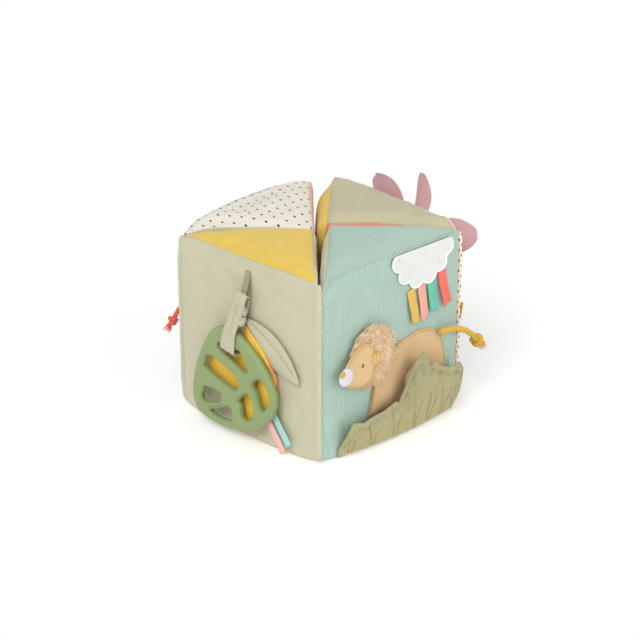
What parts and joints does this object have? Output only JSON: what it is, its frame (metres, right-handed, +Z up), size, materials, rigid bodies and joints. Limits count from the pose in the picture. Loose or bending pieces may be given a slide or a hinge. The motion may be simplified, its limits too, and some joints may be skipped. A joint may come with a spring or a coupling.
{
  "type": "folding activity cube",
  "caption": "Soft folding activity cube for babies: four stuffed wedges on cloth hinges, with a leaf teether, ribbons and sewn flaps.",
  "frame": {"origin": "middle of the footprint, at floor level, where the inner edges of the four wedges meet", "axes": "+Z up; -X is the face with the teether, -Y the face with the lion, +X the face with the flower, +Y the face with the elephant"},
  "size_m": [0.1987, 0.1796, 0.1758],
  "materials": {
    "sage": "woven cotton muslin, padded",
    "top_sage": "woven cotton",
    "aqua": "crinkled double muslin, padded",
    "mustard": "woven cotton",
    "ecru": "woven cotton with small black dashes",
    "coral": "woven cotton",
    "peach": "woven cotton",
    "olive": "cotton ribbon",
    "mauve": "brushed cotton",
    "tan": "short plush, embroidered outline",
    "plush": "long plush",
    "grass": "woven cotton, stitched blades",
    "white": "felt",
    "foam": "polyester fibre stuffing",
    "red": "satin ribbon or cord",
    "teal": "satin ribbon",
    "pink": "satin ribbon",
    "sky": "satin ribbon",
    "gold": "twisted cotton cord",
    "grey": "short plush",
    "teether": "matt food-grade silicone",
    "capsule": "smooth moulded plastic"
  },
  "bodies": {
    "lion_wedge": {"lion_wedge_stuffing": "foam", "lion_wedge_outer_panel": "aqua", "lion_wedge_left_panel": "sage", "lion_wedge_right_panel": "peach", "lion_wedge_top_panel": "aqua", "lion_wedge_bottom_panel": "aqua", "rattle_capsule": "capsule", "cloud_patch": "white", "lion_body_patch": "tan", "lion_mane": "plush", "lion_face_patch": "tan", "lion_muzzle_patch": "white", "lion_tail_cord": "gold", "lion_tail_knot": "gold", "front_hinge_strip": "ecru", "right_hinge_strip": "ecru"},
    "leaf_wedge": {"leaf_wedge_stuffing": "foam", "leaf_wedge_outer_panel": "sage", "leaf_wedge_left_panel": "aqua", "leaf_wedge_right_panel": "ecru", "leaf_wedge_top_panel": "mustard", "leaf_wedge_bottom_panel": "mustard", "leaf_hanging_loop": "olive", "left_hinge_strip": "ecru"},
    "flower_wedge": {"flower_wedge_stuffing": "foam", "flower_wedge_outer_panel": "ecru", "flower_wedge_left_panel": "coral", "flower_wedge_right_panel": "mustard", "flower_wedge_top_panel": "top_sage", "flower_wedge_bottom_panel": "top_sage", "flower_button": "mustard"},
    "elephant_wedge": {"elephant_wedge_stuffing": "foam", "elephant_wedge_outer_panel": "aqua", "elephant_wedge_left_panel": "peach", "elephant_wedge_right_panel": "sage", "elephant_wedge_top_panel": "ecru", "elephant_wedge_bottom_panel": "ecru", "squeaker": "capsule", "elephant_patch": "grey", "elephant_tail_cord": "red", "elephant_tail_knot": "red"},
    "teether_strap": {"teether_strap": "sage"},
    "teether": {"silicone_teether": "teether"},
    "crinkle_leaf": {"crinkle_leaf": "mustard", "crinkle_leaf_backing": "coral", "aqua_ribbon_tag": "sky", "pink_ribbon_tag": "pink"},
    "padded_leaf": {"padded_leaf": "sage"},
    "grass_flap": {"grass_flap": "grass"},
    "stem_leaf": {"stem_leaf": "gold"},
    "elephant_ear": {"elephant_ear": "pink"},
    "cloud_ribbon_1": {"cloud_ribbon_1": "gold"},
    "cloud_ribbon_2": {"cloud_ribbon_2": "coral"},
    "cloud_ribbon_3": {"cloud_ribbon_3": "teal"},
    "cloud_ribbon_4": {"cloud_ribbon_4": "red"},
    "petal_1": {"petal_1": "mauve"},
    "petal_2": {"petal_2": "mauve"},
    "petal_3": {"petal_3": "mauve"},
    "petal_4": {"petal_4": "mauve"},
    "petal_5": {"petal_5": "mauve"}
  },
  "joints": [
    {"name": "front_hinge", "type": "hinge", "parent": "lion_wedge", "child": "leaf_wedge", "pos_m": [-0.075, -0.075, 0], "axis": [0, 0, 1], "range_deg": [-3.4, 176.6]},
    {"name": "left_hinge", "type": "hinge", "parent": "leaf_wedge", "child": "elephant_wedge", "pos_m": [-0.0839, 0.07474, 0], "axis": [0, 0, 1], "range_deg": [0, 180], "deforming": ["elephant_tail_cord", "elephant_tail_knot"]},
    {"name": "right_hinge", "type": "hinge", "parent": "lion_wedge", "child": "flower_wedge", "pos_m": [0.075, -0.075, 0], "axis": [0, 0, -1], "range_deg": [0, 180], "deforming": ["lion_tail_cord", "lion_tail_knot"]},
    {"name": "teether_lift", "type": "hinge", "parent": "leaf_wedge", "child": "teether_strap", "pos_m": [-0.08973, -0.00074, 0.116], "axis": [0.0593, -0.9982, 0], "range_deg": [-100, 0]},
    {"name": "teether_swing", "type": "hinge", "parent": "teether_strap", "child": "teether", "pos_m": [-0.08973, -0.00074, 0.074], "axis": [-0.9982, -0.0593, 0], "range_deg": [-8, 8]},
    {"name": "crinkle_leaf_lift", "type": "hinge", "parent": "leaf_wedge", "child": "crinkle_leaf", "pos_m": [-0.0829, 0.00067, 0.1004], "axis": [0.0593, -0.9982, 0], "range_deg": [-75, 0]},
    {"name": "padded_leaf_lift", "type": "hinge", "parent": "leaf_wedge", "child": "padded_leaf", "pos_m": [-0.08318, -0.01488, 0.1075], "axis": [-0.0323, 0.5437, -0.8387], "range_deg": [0, 70]},
    {"name": "cloud_ribbon_1_lift", "type": "hinge", "parent": "lion_wedge", "child": "cloud_ribbon_1", "pos_m": [0.019, -0.0777, 0.11635], "axis": [1, 0, 0], "range_deg": [-100, 0]},
    {"name": "cloud_ribbon_2_lift", "type": "hinge", "parent": "lion_wedge", "child": "cloud_ribbon_2", "pos_m": [0.0302, -0.0777, 0.11724], "axis": [1, 0, 0], "range_deg": [-100, 0]},
    {"name": "cloud_ribbon_3_lift", "type": "hinge", "parent": "lion_wedge", "child": "cloud_ribbon_3", "pos_m": [0.0414, -0.0777, 0.11635], "axis": [1, 0, 0], "range_deg": [-100, 0]},
    {"name": "cloud_ribbon_4_lift", "type": "hinge", "parent": "lion_wedge", "child": "cloud_ribbon_4", "pos_m": [0.0526, -0.0777, 0.12306], "axis": [1, 0, 0], "range_deg": [-100, 0]},
    {"name": "grass_fold", "type": "hinge", "parent": "lion_wedge", "child": "grass_flap", "pos_m": [0, -0.0762, 0.0012], "axis": [-1, 0, 0], "range_deg": [-80, 0]},
    {"name": "petal_1_bend", "type": "hinge", "parent": "flower_wedge", "child": "petal_1", "pos_m": [0.0773, -0.01911, 0.13392], "axis": [0, -0.9903, -0.1392], "range_deg": [-30, 15]},
    {"name": "petal_2_bend", "type": "hinge", "parent": "flower_wedge", "child": "petal_2", "pos_m": [0.0773, -0.01081, 0.12951], "axis": [0, -0.4384, 0.8988], "range_deg": [-30, 15]},
    {"name": "petal_3_bend", "type": "hinge", "parent": "flower_wedge", "child": "petal_3", "pos_m": [0.0773, -0.01244, 0.12025], "axis": [0, 0.7193, 0.6947], "range_deg": [-30, 15]},
    {"name": "petal_4_bend", "type": "hinge", "parent": "flower_wedge", "child": "petal_4", "pos_m": [0.0773, -0.02176, 0.11894], "axis": [0, 0.8829, -0.4695], "range_deg": [-30, 15]},
    {"name": "petal_5_bend", "type": "hinge", "parent": "flower_wedge", "child": "petal_5", "pos_m": [0.0773, -0.02588, 0.12739], "axis": [0, -0.1736, -0.9848], "range_deg": [-30, 15]},
    {"name": "stem_leaf_lift", "type": "hinge", "parent": "flower_wedge", "child": "stem_leaf", "pos_m": [0.0783, -0.05, 0.05], "axis": [0, -0.8829, -0.4695], "range_deg": [-60, 0]},
    {"name": "elephant_ear_lift", "type": "hinge", "parent": "elephant_wedge", "child": "elephant_ear", "pos_m": [0.0046, 0.0859, 0.086], "axis": [-0.9982, -0.0593, 0], "range_deg": [-80, 0]}
  ],
  "couplings": [
    {"joint": "crinkle_leaf_lift", "follows": "teether_lift", "ratio": 0.75}
  ]
}
